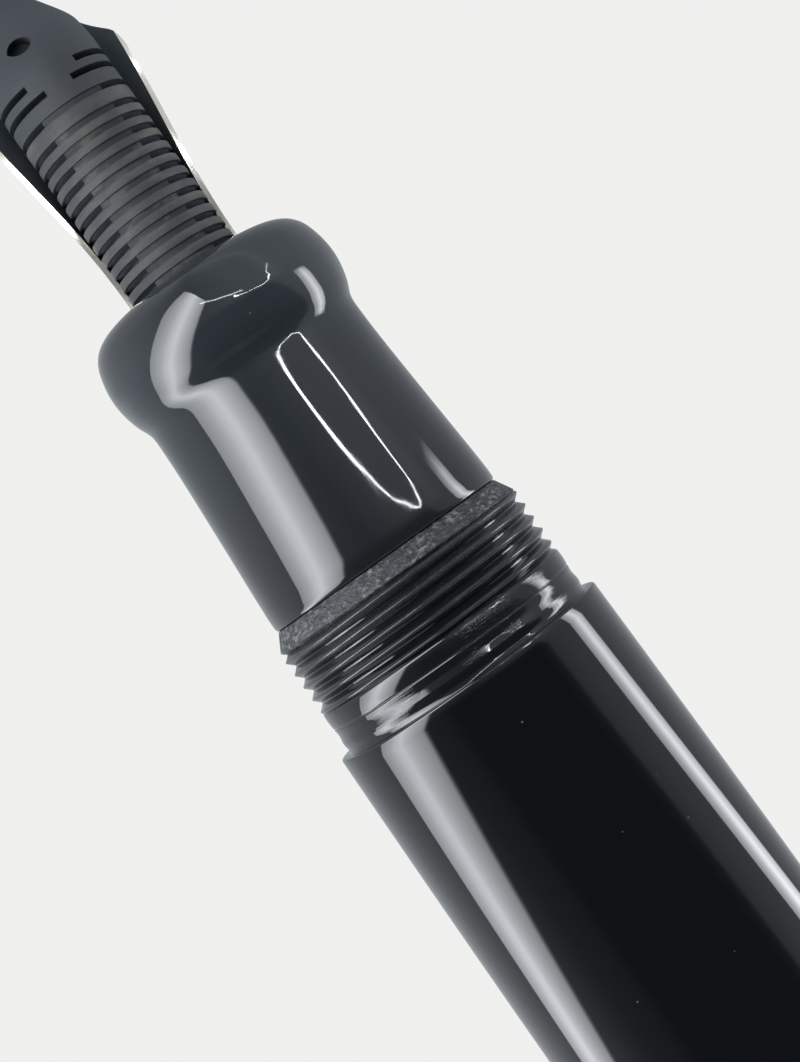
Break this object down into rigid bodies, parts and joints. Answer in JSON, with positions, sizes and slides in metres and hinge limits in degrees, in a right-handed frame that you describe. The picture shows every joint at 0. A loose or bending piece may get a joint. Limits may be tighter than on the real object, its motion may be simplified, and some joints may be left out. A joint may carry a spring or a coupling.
{
  "type": "fountain pen",
  "caption": "Black fountain pen without its cap: comb feed under a shouldered nib, flared grip section, cap thread, long barrel, and a screw converter inside.",
  "frame": {"origin": "on the pen's axis, at the middle of the barrel's cap thread", "axes": "+Z runs along the pen to the nib's tip, -Y is the feed's side and +Y the nib's upper side, X is across the nib"},
  "size_m": [0.016, 0.016, 0.1346],
  "materials": {
    "barrel": "polished black resin",
    "grip_section": "polished black resin",
    "section_o_ring": "black seal rubber",
    "nib_housing": "moulded black",
    "feed": "satin dark grey, wet",
    "nib": "polished, pale gold plate",
    "nib_tipping": "ground and polished",
    "converter_tube": "clear",
    "converter_collar": "bright",
    "converter_guide": "moulded black",
    "converter_knob": "moulded black, fluted",
    "converter_spindle": "moulded white",
    "converter_piston": "translucent seal"
  },
  "bodies": {
    "barrel": {"barrel": "barrel"},
    "seal_ring": {"section_o_ring": "section_o_ring"},
    "grip": {"grip_section": "grip_section", "nib_housing": "nib_housing", "feed": "feed", "nib": "nib", "nib_tipping": "nib_tipping"},
    "converter": {"converter_tube": "converter_tube", "converter_collar": "converter_collar", "converter_guide": "converter_guide"},
    "knob": {"converter_knob": "converter_knob"},
    "piston": {"converter_spindle": "converter_spindle", "converter_piston": "converter_piston"}
  },
  "joints": [
    {"name": "section_lift", "type": "slide", "parent": "barrel", "child": "seal_ring", "axis": [0, 0, 1], "range_m": [0, 0.08]},
    {"name": "section_turn", "type": "hinge", "parent": "seal_ring", "child": "grip", "pos_m": [0, 0, 0], "axis": [0, 0, 1], "range_deg": [0, 2160]},
    {"name": "converter_pull", "type": "slide", "parent": "grip", "child": "converter", "axis": [0, 0, -1], "range_m": [0, 0.007]},
    {"name": "knob_turn", "type": "hinge", "parent": "converter", "child": "knob", "pos_m": [0, 0, 0], "axis": [0, 0, -1], "range_deg": [0, 2635]},
    {"name": "piston_slide", "type": "slide", "parent": "converter", "child": "piston", "axis": [0, 0, 1], "range_m": [0, 0.0234]}
  ],
  "couplings": [
    {"joint": "knob_turn", "follows": "piston_slide", "rad_per_m": 1963.5}
  ]
}
